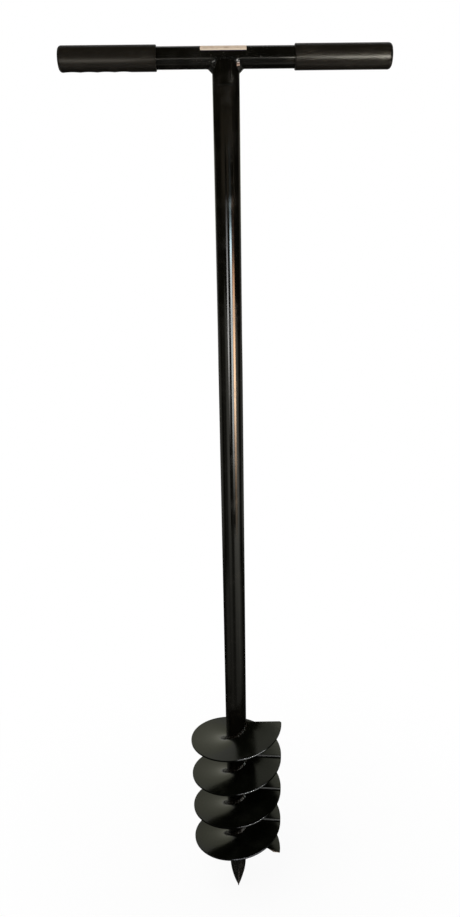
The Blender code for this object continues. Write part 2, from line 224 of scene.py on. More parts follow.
def spun(outline, sides, stand):
    """A closed outline of (radius, height) points turned about Z, then carried by a matrix."""
    bm = bmesh.new()
    points = [bm.verts.new((radius, 0.0, height)) for radius, height in outline]
    edges = [bm.edges.new(pair) for pair in zip(points, points[1:] + points[:1])]
    bmesh.ops.spin(bm, geom=points + edges, axis=(0, 0, 1), cent=(0, 0, 0), angle=tau, steps=sides,
                   use_merge=True, use_duplicate=False)
    bmesh.ops.remove_doubles(bm, verts=bm.verts, dist=MERGE)
    bmesh.ops.transform(bm, matrix=stand, verts=bm.verts)
    return mesh_of(bm, "spun")


def edge_arc(centre_x, centre_y, radius, first, last, steps=4):
    """Points of a rounding about a centre, from the first to the last angle in degrees."""
    points = []
    for step in range(steps + 1):
        turn = radians(first + (last - first) * step / steps)
        points.append((centre_x + radius * cos(turn), centre_y + radius * sin(turn)))
    return points


SHAFT_RADIUS = 0.0167
SHAFT_BORE = 0.0142
SHAFT_FOOT = 0.080
SHAFT_LIP = 0.0006
SHAFT_SIDES = 144
HANDLE_HEIGHT = 1.3535
HANDLE_RADIUS = 0.0127
HANDLE_SIDES = 96
SADDLE_REACH = 0.04
SEAT = 0.0003
ACROSS = Matrix.Rotation(radians(90), 4, "Y")
ON_HANDLE = Matrix.Translation((0, 0, HANDLE_HEIGHT)) @ ACROSS

PAINT_DEEP = (0.0020, 0.0018, 0.0011)
PAINT_DUSTY = (0.0062, 0.0055, 0.0040)
PAINT_GLOSS_LEVEL = 0.34


def shaft_paint():
    finish, bench, where = start_finish("shaft_paint")
    patch_share, speck_share, wide_share, rough, dusty_rough = 0.55, 0.6, 1.4, 0.085, 0.30
    patches = bench.rise(bench.noise(where, scale=38.0, detail=4.0), low=0.46, high=0.72)
    specks = bench.rise(bench.noise(where, scale=900.0, detail=2.0), low=0.66, high=0.74)
    dust = bench.least(patches * patch_share + specks * speck_share, 1.0)
    peel = bench.noise(where, scale=420.0, detail=1.5)
    peel = peel + bench.noise(where, scale=95.0, detail=2.0) * wide_share
    bench.set(Base_Color=bench.blend(dust, PAINT_DEEP, PAINT_DUSTY),
              Roughness=rough + (dusty_rough - rough) * dust,
              Specular_IOR_Level=PAINT_GLOSS_LEVEL, Normal=bench.bump(peel, strength=0.10, distance=0.0002))
    return finish


shaft_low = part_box("shaft_tube")[0].z
shaft_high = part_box("shaft_tube")[1].z
shaft_outline = (edge_arc(SHAFT_RADIUS - SHAFT_LIP, shaft_low + SHAFT_LIP, SHAFT_LIP, -90, 0)
                 + [(SHAFT_RADIUS, shaft_high), (SHAFT_BORE, shaft_high), (SHAFT_BORE, shaft_low)])
shaft_blank = put("shaft_blank", spun(shaft_outline, SHAFT_SIDES, Matrix.Identity(4)))
saddle_outline = [(0.0, SADDLE_REACH), (0.0, -SADDLE_REACH),
                  (HANDLE_RADIUS + SEAT, -SADDLE_REACH), (HANDLE_RADIUS + SEAT, SADDLE_REACH)]
saddle_cutter = put("saddle_cutter", spun(saddle_outline, HANDLE_SIDES, ON_HANDLE))
saddle_cut = shaft_blank.modifiers.new("saddle", "BOOLEAN")
saddle_cut.solver = "EXACT"
saddle_cut.object = saddle_cutter
shaft_mesh = settle(shaft_blank)
bpy.data.objects.remove(saddle_cutter)
finish_piece("shaft", shaft_mesh, shaft_paint(), ["shaft_tube"])


# Handle tube.
# A 25.4 mm steel tube in the same enamel, welded across the shaft. Its paint is coarser near the
# weld, where spatter stuck to the steel before it was sprayed.
HANDLE_WALL = 0.002
HANDLE_LIP = 0.0005
SPATTER_FULL, SPATTER_END = 0.020, 0.062


def handle_paint():
    finish, bench, where = start_finish("handle_paint")
    patch_share, spatter_share, rough, dusty_rough = 0.6, 0.5, 0.13, 0.20
    near_weld = bench.fall(abs(bench.parts(where)[0]), SPATTER_FULL, SPATTER_END)
    patches = bench.rise(bench.noise(where, scale=45.0, detail=4.0), low=0.44, high=0.70)
    spatter = bench.rise(bench.noise(where, scale=520.0), low=0.60, high=0.68) * near_weld
    dust = bench.least(patches * patch_share + spatter * spatter_share, 1.0)
    skin = bench.bump(bench.noise(where, scale=300.0, detail=2.0), strength=0.22, distance=0.0003)
    bench.set(Base_Color=bench.blend(dust, PAINT_DEEP, PAINT_DUSTY),
              Roughness=rough + dust * dusty_rough, Specular_IOR_Level=PAINT_GLOSS_LEVEL,
              Normal=bench.bump(spatter, strength=0.7, distance=0.0005, under=skin))
    return finish


handle_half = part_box("handle_tube")[1].x
handle_bore = HANDLE_RADIUS - HANDLE_WALL
handle_outline = (edge_arc(HANDLE_RADIUS - HANDLE_LIP, -handle_half + HANDLE_LIP, HANDLE_LIP, -90, 0)
                  + edge_arc(HANDLE_RADIUS - HANDLE_LIP, handle_half - HANDLE_LIP, HANDLE_LIP, 0, 90)
                  + [(handle_bore, handle_half), (handle_bore, -handle_half)])
finish_piece("handle", spun(handle_outline, HANDLE_SIDES, ON_HANDLE), handle_paint(),
             ["handle_tube"])


# Label.
# A blank paper strip stuck over the top of the handle tube at its middle, with rounded corners and
# a thin dark border along its front edge. It is slightly soiled all over, and its lower rows are
# painted lighter, a painted highlight where they face the light.
LABEL_FROM, LABEL_TO = -0.0304, 0.0249
LABEL_FRONT, LABEL_BACK = 32.0, 148.0
LABEL_LIFT, LABEL_THICK = 0.00014, 0.000112
LABEL_CORNER, LABEL_AROUND = 0.0016, 0.024
LABEL_COLUMNS, LABEL_ROWS = 40, 32
PAPER, PAPER_SOILED = (0.46, 0.36, 0.27), (0.33, 0.25, 0.18)
PAPER_LIT_LOWER, LABEL_BORDER = (0.56, 0.48, 0.37), (0.020, 0.012, 0.034)


def label_mesh():
    bm = bmesh.new()
    sheet = bmesh.ops.create_grid(bm, x_segments=LABEL_COLUMNS, y_segments=LABEL_ROWS, size=0.5)["verts"]
    radius = HANDLE_RADIUS + LABEL_LIFT
    for vert in sheet:
        share = vert.co.y + 0.5
        near_edge = max(0.0, LABEL_CORNER - min(share, 1 - share) * LABEL_AROUND) / LABEL_CORNER
        inset = LABEL_CORNER * (1 - sqrt(max(0.0, 1 - near_edge * near_edge)))
        along = (LABEL_FROM + inset) + (LABEL_TO - LABEL_FROM - 2 * inset) * (vert.co.x + 0.5)
        up = radians(LABEL_FRONT + (LABEL_BACK - LABEL_FRONT) * share)
        vert.co = Vector((along, -radius * cos(up), HANDLE_HEIGHT + radius * sin(up)))
    bmesh.ops.recalc_face_normals(bm, faces=bm.faces)
    middle = max(bm.faces, key=lambda face: face.calc_center_median().z)
    if middle.normal.z < 0:
        bmesh.ops.reverse_faces(bm, faces=bm.faces)
    bmesh.ops.solidify(bm, geom=bm.faces[:], thickness=LABEL_THICK)
    return mesh_of(bm, "label")


def label_paper():
    finish, bench, where = start_finish("label_paper")
    rough, soiled_rough = 0.42, 0.2
    front_edge = HANDLE_HEIGHT + HANDLE_RADIUS * sin(radians(LABEL_FRONT))
    above_edge = bench.parts(where)[2] - front_edge
    soiled = bench.rise(bench.noise(where, scale=160.0, detail=4.0), low=0.42, high=0.75)
    # The lower rows are painted lighter: a painted highlight where the label faces the light.
    paper = bench.blend(bench.rise(above_edge, low=0.0014, high=0.0034), PAPER_LIT_LOWER,
                        bench.blend(soiled, PAPER, PAPER_SOILED))
    paper = bench.blend(bench.fall(above_edge, low=0.0007, high=0.0011), paper, LABEL_BORDER)
    fibres = bench.noise(where, scale=700.0)
    bench.set(Base_Color=paper, Roughness=rough + soiled * soiled_rough,
              Normal=bench.bump(fibres, strength=0.15, distance=0.0001))
    return finish


finish_piece("label", label_mesh(), label_paper(), [])


# Handle weld.
# One bead all round the saddle, laid by hand in short overlapping pools and painted over, fat in
# the two corners under the handle and thin over the shaft's tongues. A painted glint, white above
# and orange below, sits at its right end, and a small grey painted highlight at its left.
def new_rule(name, inputs):
    """A geometry tree with inputs named in a row; gives the tree, its bench and their wires."""
    labels = inputs.split(", ")
    tree = bpy.data.node_groups.new(name, "GeometryNodeTree")
    tree.interface.new_socket("Geometry", in_out="OUTPUT", socket_type="NodeSocketGeometry")
    kinds = {"Steps": "NodeSocketInt", "Finish": "NodeSocketMaterial"}
    for label in labels:
        tree.interface.new_socket(label, in_out="INPUT", socket_type=kinds.get(label, "NodeSocketFloat"))
    bench = Bench(tree)
    given = tree.nodes.new("NodeGroupInput")
    return tree, bench, {label: Wire(bench, given.outputs[label]) for label in labels}


def end_rule(bench, shape, place, finish):
    """Place the points, then Realize Instances, Set Material and the tree's output."""
    bent = bench.node("GeometryNodeSetPosition", None, {"Geometry": shape, "Position": place})
    real = bench.node("GeometryNodeRealizeInstances", None, {"Geometry": bent})
    painted = bench.node("GeometryNodeSetMaterial", None, {"Geometry": real, "Material": finish})
    bench.feed(bench.tree.nodes.new("NodeGroupOutput").inputs["Geometry"], painted)


def follow_rule(tree, **values):
    """An object made by a geometry tree, with its inputs set by their identifiers."""
    carrier = put("carrier", bpy.data.meshes.new("carrier"))
    rule = carrier.modifiers.new("rule", "NODES")
    rule.node_group = tree
    for item in tree.interface.items_tree:
        if item.in_out == "INPUT":
            rule[item.identifier] = values[item.name.replace(" ", "_")]
    return carrier


def closed(piece):
    """Settle an object to a closed mesh without doubles, its faces turned outwards."""
    mesh = settle(piece)
    bm = bmesh.new()
    bm.from_mesh(mesh)
    bmesh.ops.remove_doubles(bm, verts=bm.verts, dist=MERGE)
    bmesh.ops.recalc_face_normals(bm, faces=bm.faces)
    bm.to_mesh(mesh)
    bm.free()
    return mesh


def field(bench, name, kind="FLOAT"):
    return bench.node("GeometryNodeInputNamedAttribute", {"data_type": kind}, {"Name": name})


def keep(bench, shape, name, value, kind="FLOAT"):
    """Store a field on the points as a named attribute."""
    return bench.node("GeometryNodeStoreNamedAttribute", {"data_type": kind, "domain": "POINT"},
                      {"Geometry": shape, "Name": name, "Value": value})


def bead_tube(bench, line, corners, caps):
    """A quarter disc swept along a line, the share along it and the two places across it."""
    line = keep(bench, line, "along", bench.node("GeometryNodeSplineParameter"))
    pie = bench.node("GeometryNodeCurveArc", None, {
        "Resolution": corners, "Radius": 1.0, "Start Angle": 0.0, "Sweep Angle": radians(90),
        "Connect Center": True})
    pie = keep(bench, pie, "corner", bench.node("GeometryNodeInputPosition"), "FLOAT_VECTOR")
    bead = bench.node("GeometryNodeCurveToMesh", None,
                      {"Curve": line, "Profile Curve": pie, "Fill Caps": caps})
    across, over = bench.parts(field(bench, "corner", "FLOAT_VECTOR"))[:2]
    return bead, field(bench, "along"), bench.most(across, 0.0), bench.most(over, 0.0)


def wander(bench, spot, seed, scale):
    """A slow wandering between about -0.5 and 0.5, for a hand's unevenness."""
    return bench.node("ShaderNodeTexNoise", {"noise_dimensions": "4D"},
                      {"Vector": spot, "W": seed, "Scale": scale, "Detail": 2.0}) - 0.5


SADDLE_STEPS, SADDLE_CORNERS = 360, 13


def saddle_rule():
    """A closed fillet round a tube's end, between its side and the tube lying across it."""
    tree, bench, given = new_rule(
        "saddle_fillet", "Tube Radius, Cross Radius, Cross Height, Side Leg, Down Leg, Thin Share, Hollow, "
        "Pools, Pool Depth, Seed, Finish")
    drift, unevenness, crown, wander_reach, wander_lean = 1.2, 3.0, 0.6, 2.2, 0.25
    ring = bench.node("GeometryNodeCurvePrimitiveCircle", None, {"Resolution": SADDLE_STEPS, "Radius": 1.0})
    bead, along, across, over = bead_tube(bench, ring, SADDLE_CORNERS, caps=False)
    turn = along * tau
    cosine = bench.maths("COSINE", turn)
    sine = bench.maths("SINE", turn)
    spot = bench.point(cosine * wander_reach, sine * wander_reach, across * wander_lean)
    stray = wander(bench, spot, given["Seed"], scale=1.6)
    wave = bench.maths("SINE", (along * given["Pools"] + stray * drift) * tau)
    share = given["Thin Share"] + (1.0 - given["Thin Share"]) * cosine * cosine
    swell = share * (1.0 + (wave * given["Pool Depth"] + stray * given["Pool Depth"] * unevenness))
    reach = given["Tube Radius"] + across ** given["Hollow"] * given["Side Leg"] * swell
    down = over ** given["Hollow"] * given["Down Leg"] * swell
    y = reach * sine
    ratio = y / given["Cross Radius"]
    drop = given["Cross Radius"] * bench.most(1.0 - ratio * ratio, 0.0) ** crown
    place = bench.point(reach * cosine, y, given["Cross Height"] - drop - down)
    end_rule(bench, bead, place, given["Finish"])
    return tree


# Where the handle bead's painted highlights lie: a white and orange glint at the right, a grey one at the
# left.
RIGHT_GLINT_ACROSS, RIGHT_GLINT_HEIGHT = 0.0147, 1.3475
RIGHT_GLINT_LOWER, RIGHT_GLINT_UPPER = (0.86, 0.56, 0.42), (0.98, 0.94, 0.88)
LEFT_GLINT_ACROSS, LEFT_GLINT_HEIGHT, LEFT_GLINT_SLOPE = -0.0148, 1.3490, 0.4
LEFT_GLINT_GREY = (0.105, 0.104, 0.098)
WELD_DUSTY = (0.012, 0.010, 0.008)
BEAD_SINK = 0.0001


def weld_paint(name, rough, lumps, gloss_level, tint):
    """Enamel over a weld's rough skin, with the handle bead's painted glints: white and orange at its right
    end, grey at its left.
    """
    finish, bench, where = start_finish(name)
    dust_share, dusty_rough, droplet_share, glint_change = 0.7, 0.18, 0.8, 0.001
    skin = bench.noise(where, scale=330.0, detail=4.0, roughness=0.6)
    droplets = bench.rise(bench.noise(where, scale=760.0, detail=2.0), low=0.60, high=0.70)
    dust = bench.rise(skin, low=0.48, high=0.66)
    x, y, z = bench.parts(where)
    in_front = bench.fall(y, low=-0.007, high=-0.004)
    ragged = bench.rise(bench.noise(where, scale=700.0, detail=2.0), low=0.44, high=0.52)
    # A painted glint at the bead's right end, white above and orange below.
    right_glint = bench.fall(abs(x - RIGHT_GLINT_ACROSS), low=0.0010, high=0.0022)
    right_glint = right_glint * bench.fall(abs(z - RIGHT_GLINT_HEIGHT), low=0.0026, high=0.0044) * in_front * ragged
    steel_and_glint = bench.blend(bench.rise(z, RIGHT_GLINT_HEIGHT - glint_change, RIGHT_GLINT_HEIGHT + glint_change),
                        RIGHT_GLINT_LOWER, RIGHT_GLINT_UPPER)
    # A small grey painted highlight on the bead's left shoulder.
    beside = x - LEFT_GLINT_ACROSS
    over = abs(z - LEFT_GLINT_HEIGHT - beside * LEFT_GLINT_SLOPE)
    rubbed_highlight = bench.fall(abs(beside), low=0.0012, high=0.0026)
    rubbed_highlight = rubbed_highlight * bench.fall(over, low=0.0004, high=0.0012) * in_front
    painted = bench.blend(rubbed_highlight, bench.blend(dust * dust_share, PAINT_DEEP, WELD_DUSTY), LEFT_GLINT_GREY)
    normal = bench.bump(skin, strength=lumps, distance=0.0012)
    bench.set(Base_Color=bench.blend(right_glint, painted, steel_and_glint), Roughness=rough + dust * dusty_rough,
              Specular_IOR_Level=gloss_level, Specular_Tint=tint,
              Normal=bench.bump(droplets, strength=lumps * droplet_share, distance=0.0005, under=normal))
    return finish


handle_bead_paint = weld_paint("handle_weld_paint", rough=0.14, lumps=0.45, gloss_level=0.35,
                               tint=(0.88, 0.95, 1.0))
handle_bead = follow_rule(
    saddle_rule(), Tube_Radius=SHAFT_RADIUS + BEAD_SINK, Cross_Radius=HANDLE_RADIUS + BEAD_SINK,
    Cross_Height=HANDLE_HEIGHT, Side_Leg=0.0047, Down_Leg=0.0048, Thin_Share=0.5, Hollow=2.0, Pools=22.0,
    Pool_Depth=0.05, Seed=3.0, Finish=handle_bead_paint)
finish_piece("handle_bead", closed(handle_bead), handle_bead_paint, ["handle_weld"])


# Grips.
# Two closed sleeves of dull black rubber pushed over the handle's ends, with four shallow finger
# grooves each. The left one sits with its grooves below, and the right one is turned away.
GRIP_RADIUS = 0.0148
GRIP_LENGTH = 0.117
GRIP_END = 0.200
GRIP_ROUND, GRIP_ROUND_STEPS = 0.0045, 10
GRIP_MOUTH = 0.0010
GRIP_END_WALL = 0.002
GRIP_SIDES, GRIP_RINGS = 112, 104
GROOVE_COUNT = 4
GROOVE_PITCH, GROOVE_DEPTH, GROOVE_START = 0.0206, 0.0007, 0.0045
BORE_SPARE = 0.0004
LEFT_TURN, RIGHT_TURN = 3, 120
RUBBER, RUBBER_WORN = (0.0056, 0.0042, 0.0022), (0.0120, 0.0100, 0.0066)


def grip_rubber():
    finish, bench, where = start_finish("grip_rubber")
    along_share, scuff_share, streak_share, rough, worn_rough = 0.12, 0.7, 0.25, 0.36, 0.16
    x, y, z = bench.parts(where)
    scuffs = bench.rise(bench.noise(where, scale=60.0, detail=5.0, roughness=0.65), low=0.50, high=0.78)
    drawn = bench.point(x * along_share, y, z)
    streaks = bench.rise(bench.noise(drawn, scale=700.0, detail=2.0), low=0.55, high=0.75)
    worn = bench.least(scuffs * scuff_share + streaks * streak_share, 1.0)
    moulded = bench.bump(bench.noise(where, scale=1300.0), strength=0.35, distance=0.00012)
    bench.set(Base_Color=bench.blend(worn, RUBBER, RUBBER_WORN),
              Roughness=rough + worn * worn_rough, Specular_IOR_Level=0.30,
              Normal=bench.bump(streaks, strength=0.2, distance=0.0001, under=moulded))
    return finish


def grip_mesh(side, turn):
    """A sleeve at the handle's left end, side -1, or right end, side 1, turned by degrees."""
    bore = HANDLE_RADIUS + SEAT
    straight = GRIP_LENGTH - GRIP_ROUND - GRIP_MOUTH
    outline = [(0.0, 0.0)]
    outline += edge_arc(GRIP_RADIUS - GRIP_ROUND, -GRIP_ROUND, GRIP_ROUND, 90, 0, GRIP_ROUND_STEPS)
    for ring in range(1, GRIP_RINGS):
        outline.append((GRIP_RADIUS, -GRIP_ROUND - straight * ring / GRIP_RINGS))
    outline += edge_arc(GRIP_RADIUS - GRIP_MOUTH, -GRIP_LENGTH + GRIP_MOUTH, GRIP_MOUTH, 0, -90)
    outline += [(bore, -GRIP_LENGTH), (bore, -GRIP_END_WALL), (0.0, -GRIP_END_WALL)]
    stand = Matrix.Translation((side * GRIP_END, 0, HANDLE_HEIGHT))
    mesh = spun(outline, GRIP_SIDES, stand @ Matrix.Rotation(radians(90 * side), 4, "Y"))
    sweep = ((GROOVE_PITCH / 2) ** 2 + GROOVE_DEPTH ** 2) / (2 * GROOVE_DEPTH)
    lean = radians(turn)
    for vert in mesh.vertices:
        along = (side * GRIP_END - vert.co.x) * side - GROOVE_START
        y = vert.co.y
        z = vert.co.z - HANDLE_HEIGHT
        radius = hypot(y, z)
        down = y * sin(lean) - z * cos(lean)
        in_grooves = 0 < along < GROOVE_COUNT * GROOVE_PITCH
        if radius < bore + BORE_SPARE or not in_grooves or down <= 0:
            continue
        off = along % GROOVE_PITCH - GROOVE_PITCH / 2
        limit = GRIP_RADIUS - GROOVE_DEPTH + sweep - sqrt(sweep * sweep - off * off)
        if down > limit:
            shrink = 1 - (down - limit) / radius
            vert.co.y = y * shrink
            vert.co.z = HANDLE_HEIGHT + z * shrink
    return mesh


rubber = grip_rubber()
finish_piece("left_sleeve", grip_mesh(-1, LEFT_TURN), rubber, ["left_grip"])
finish_piece("right_sleeve", grip_mesh(1, RIGHT_TURN), rubber, ["right_grip"])


# Flights.
# Four discs of 3 mm plate, each slit, stretched to one turn of a right-handed screw and lapped over
# the start of the next. The last is ground thin below its leading edge, with a proud outer tooth.
FLIGHT_COUNT = 4
FLIGHT_RADIUS = 0.075
FLIGHT_BORE = SHAFT_RADIUS + SEAT
PLATE = 0.003
PLATE_STEPS, PLATE_ROWS, ROW_EASE = 200, 25, 1.5
TURN_SPACING = 0.070
SEAM_ANGLE = -6.3
LAP = 5.0
TOP_CORNER = 0.0025
EDGE_RISE = 0.0115
EDGE_SETBACK, TOOTH = 2.0, 4.5
TOOTH_FROM, TOOTH_FULL = 0.052, 0.063
EDGE_LAND, EDGE_GRIND = 0.0009, 0.2126
EDGE_SOFT, EDGE_SOFT_FACES, EDGE_SOFT_FROM = 0.0005, 3, radians(40)
PITCH = TURN_SPACING - (PLATE + SEAT) / cos(atan(TURN_SPACING / (tau * FLIGHT_BORE)))
FLIGHT_TOP = SHAFT_FOOT + EDGE_RISE + (FLIGHT_COUNT - 1) * TURN_SPACING + PITCH

PLATE_DEEP, PLATE_DUSTY = (0.0012, 0.0014, 0.0008), (0.0052, 0.0056, 0.0040)
RIM_PAINT, SHEARED_PAINT = (0.010, 0.011, 0.011), (0.150, 0.152, 0.148)
# Bare steel on the rim at the front right, which paints in the highlight there.
RIM_STEEL_HIGHLIGHT, LAST_RIM_STEEL_HIGHLIGHT = (0.66, 0.69, 0.77), (0.34, 0.35, 0.38)
EDGE_BROWN, EDGE_RUST = (0.34, 0.27, 0.21), (0.16, 0.095, 0.060)
RIM_FROM, RIM_FULL = 0.0743, 0.0749
RUB_HIGHLIGHT_FROM, LAST_RUB_HIGHLIGHT_FROM, RUB_HIGHLIGHT_EASE = -0.004, -0.014, 0.010
RUB_HIGHLIGHT_DOWN, RUB_HIGHLIGHT_END = 0.038, 0.050


def on_helix(bench, given, radius, past, lift, plates):
    """A place on the helix, past the seam in degrees, lifted and raised by so much plate."""
    aim = (given["Seam"] - past) * radians(1)
    slope = given["Pitch"] / (radius * tau)
    upright = (1.0 + slope * slope) ** 0.5
    height = given["Top"] - given["Pitch"] * past / 360.0 + lift + plates * upright
    return bench.point(radius * bench.maths("COSINE", aim), radius * bench.maths("SINE", aim), height)


def plate_rule():
    """A plate swept along a helix, flat along each radius, its end edge shaped and ground by inputs."""
    tree, bench, given = new_rule(
        "helical_plate", "Bore, Radius, Plate, Top, Pitch, Seam, First, Last, Setback, Tooth, Slope From, "
        "Slope To, Land, Grind, Corner, Steps, Finish")
    sheet = bench.node("GeometryNodeMeshGrid", None,
                       {"Size X": 1.0, "Size Y": 1.0, "Vertices X": given["Steps"], "Vertices Y": PLATE_ROWS})
    lower = bench.node("GeometryNodeExtrudeMesh", {"mode": "FACES"},
                       {"Mesh": sheet, "Offset Scale": -1.0, "Individual": False})
    upper = bench.node("GeometryNodeFlipFaces", None, {"Mesh": sheet})
    joined = bench.node("GeometryNodeJoinGeometry")
    for sheet_part in (upper, lower):
        bench.feed(joined.socket.node.inputs["Geometry"], sheet_part)
    solid = bench.node("GeometryNodeMergeByDistance", None, {"Geometry": joined, "Distance": 0.0001})
    x, y, s = bench.parts(bench.node("GeometryNodeInputPosition"))
    degree = radians(1)
    radius = given["Bore"] + (given["Radius"] - given["Bore"]) * (1.0 - (0.5 - y) ** ROW_EASE)
    shape = bench.node("ShaderNodeMapRange", None,
                       {"Value": radius, "From Min": given["Slope From"], "From Max": given["Slope To"]})
    last = given["Last"] - given["Setback"] + (given["Setback"] + given["Tooth"]) * shape
    first = given["First"] + bench.most(radius - given["Radius"] + given["Corner"], 0.0) / (radius * degree)
    past = first + (last - first) * (x + 0.5)
    to_edge = (last - past) * radius * degree
    thick = bench.least(given["Plate"], given["Land"] + to_edge * given["Grind"])
    solid = keep(bench, solid, "to_edge", to_edge)
    solid = keep(bench, solid, "under", -s)
    place = on_helix(bench, given, radius, past, 0.0, s * thick)
    end_rule(bench, solid, place, given["Finish"])
    return tree


def flight_paint(name, is_last):
    """Enamel on a plate, bare steel on the rim's upper edge at the front right only, which is wear and also a
    painted highlight where the light falls, and worn off the cutting edge.
    """
    finish, bench, where = start_finish(name)
    patch_share, speck_share, rim_wander = 0.55, 0.35, 0.0006
    rough, dusty_rough, rim_rough, wide_share = 0.15, 0.12, 0.06, 2.0
    x, y = bench.parts(where)[:2]
    out = (x * x + y * y) ** 0.5
    grain = bench.noise(where, scale=900.0)
    to_edge = bench.node("ShaderNodeAttribute", {"attribute_name": "to_edge"}, out=2)
    under = bench.node("ShaderNodeAttribute", {"attribute_name": "under"}, out=2)
    rim = bench.rise(out + (bench.noise(where, scale=300.0) - 0.5) * rim_wander, RIM_FROM, RIM_FULL)
    sheared = bench.fall(to_edge, low=0.0001, high=0.0005)
    patches = bench.rise(bench.noise(where, scale=32.0, detail=5.0), low=0.42, high=0.72)
    dust = bench.least(patches * patch_share + bench.rise(grain, low=0.62, high=0.74) * speck_share, 1.0)
    # The rim's upper edge is bare steel only at the front right, where the light falls: wear that also stands
    # as a painted highlight.
    rub_highlight_from = LAST_RUB_HIGHLIGHT_FROM if is_last else RUB_HIGHLIGHT_FROM
    rubbed_highlight = bench.band(x, rub_highlight_from, rub_highlight_from + RUB_HIGHLIGHT_EASE, RUB_HIGHLIGHT_DOWN, RUB_HIGHLIGHT_END)
    rubbed_highlight = rubbed_highlight * bench.rise(grain, low=0.25, high=0.60) * bench.fall(under, low=0.30, high=0.60)
    scraped_highlight = bench.blend(rubbed_highlight, RIM_PAINT, LAST_RIM_STEEL_HIGHLIGHT if is_last else RIM_STEEL_HIGHLIGHT)
    colour = bench.blend(sheared, bench.blend(dust, PLATE_DEEP, PLATE_DUSTY), SHEARED_PAINT)
    colour = bench.blend(rim, colour, scraped_highlight)
    rough = rough + dust * dusty_rough + bench.most(rim, sheared) * rim_rough
    metal = rim
    if is_last:
        edge_wander, bare_rough, rim_metal, bare_metal = 0.006, 0.16, 0.6, 0.5
        ragged = to_edge + (bench.noise(where, scale=260.0, detail=4.0) - 0.5) * edge_wander
        bare = bench.fall(ragged, low=0.0006, high=0.0022) * bench.rise(out, low=0.055, high=0.066)
        rust = bench.blend(bench.rise(grain, low=0.4, high=0.7), EDGE_BROWN, EDGE_RUST)
        colour = bench.blend(bare, colour, rust)
        rough = rough + bare * bare_rough
        metal = bench.most((rim - bare) * rim_metal, bare * bare_metal)
    skin = bench.noise(where, scale=240.0, detail=2.0)
    skin = skin + bench.noise(where, scale=60.0, detail=2.0) * wide_share
    bench.set(Metallic=metal, Base_Color=colour, Roughness=rough, Specular_IOR_Level=0.19,
              Specular_Tint=(0.97, 1.0, 0.76), Normal=bench.bump(skin, strength=0.12, distance=0.0003))
    return finish


plate_shape = plate_rule()
plate_paint = flight_paint("flight_paint", False)
edge_paint = flight_paint("cutting_edge_paint", True)
for turn in range(FLIGHT_COUNT):
    is_last = turn == FLIGHT_COUNT - 1
    finish = edge_paint if is_last else plate_paint
    flight = follow_rule(
        plate_shape, Bore=FLIGHT_BORE, Radius=FLIGHT_RADIUS, Plate=PLATE, Pitch=PITCH, Seam=SEAM_ANGLE,
        Top=FLIGHT_TOP - TURN_SPACING * turn, First=-LAP, Last=360.0, Slope_From=TOOTH_FROM,
        Slope_To=TOOTH_FULL, Setback=EDGE_SETBACK if is_last else 0.0, Tooth=TOOTH if is_last else 0.0,
        Land=EDGE_LAND if is_last else PLATE, Grind=EDGE_GRIND, Corner=0.0 if turn else TOP_CORNER,
        Steps=PLATE_STEPS, Finish=finish)
    soften = flight.modifiers.new("soft edges", "BEVEL")
    soften.width = EDGE_SOFT
    soften.segments = EDGE_SOFT_FACES
    soften.limit_method = "ANGLE"
    soften.angle_limit = EDGE_SOFT_FROM
    finish_piece(f"plate_{turn + 1}", closed(flight), finish, [f"flight_{turn + 1}"])


# Flight welds.
# A fillet above and a fillet below every plate along the shaft, laid in pools a few millimetres
# long, uneven in height and painted over.
BEAD_OUT, BEAD_UP, BEAD_HOLLOW = 0.0034, 0.0038, 1.9
BEAD_STEPS, BEAD_CORNERS = 420, 9
BEAD_GAP = 0.00015
BEAD_START, BEAD_END, LAST_BEAD_END = 3.0, 357.0, 355.0


def fillet_rule():
    """A fillet bead on a helix, in the corner between a plate and the tube."""
    tree, bench, given = new_rule(
        "helical_bead", "Bore, Plate, Top, Pitch, Seam, First, Last, Side, Out, Up, Gap, Pools, Pool Depth, "
        "Seed, Steps, Finish")
    drift, unevenness, wander_long, wander_wide = 1.3, 2.0, 60.0, 0.6
    line = bench.node("GeometryNodeCurvePrimitiveLine", None,
                      {"Start": (0.0, 0.0, 0.0), "End": (1.0, 0.0, 0.0)})
    line = bench.node("GeometryNodeResampleCurve", None, {"Curve": line, "Count": given["Steps"]})
    bead, along, across, over = bead_tube(bench, line, BEAD_CORNERS, caps=True)
    spot = bench.point(along * wander_long, across * wander_wide, over * wander_wide)
    stray = wander(bench, spot, given["Seed"], scale=0.5)
    wave = bench.maths("SINE", (along * given["Pools"] + stray * drift) * tau)
    swell = 1.0 - given["Pool Depth"] + wave * given["Pool Depth"] + stray * given["Pool Depth"] * unevenness
    radius = given["Bore"] + across ** BEAD_HOLLOW * given["Out"] * swell
    up = over ** BEAD_HOLLOW * given["Up"] * swell
    past = given["First"] + (given["Last"] - given["First"]) * along
    below = (given["Side"] - 1.0) / 2.0
    lift = given["Side"] * (given["Gap"] + up)
    place = on_helix(bench, given, radius, past, lift, below * given["Plate"])
    end_rule(bench, bead, place, given["Finish"])
    return tree


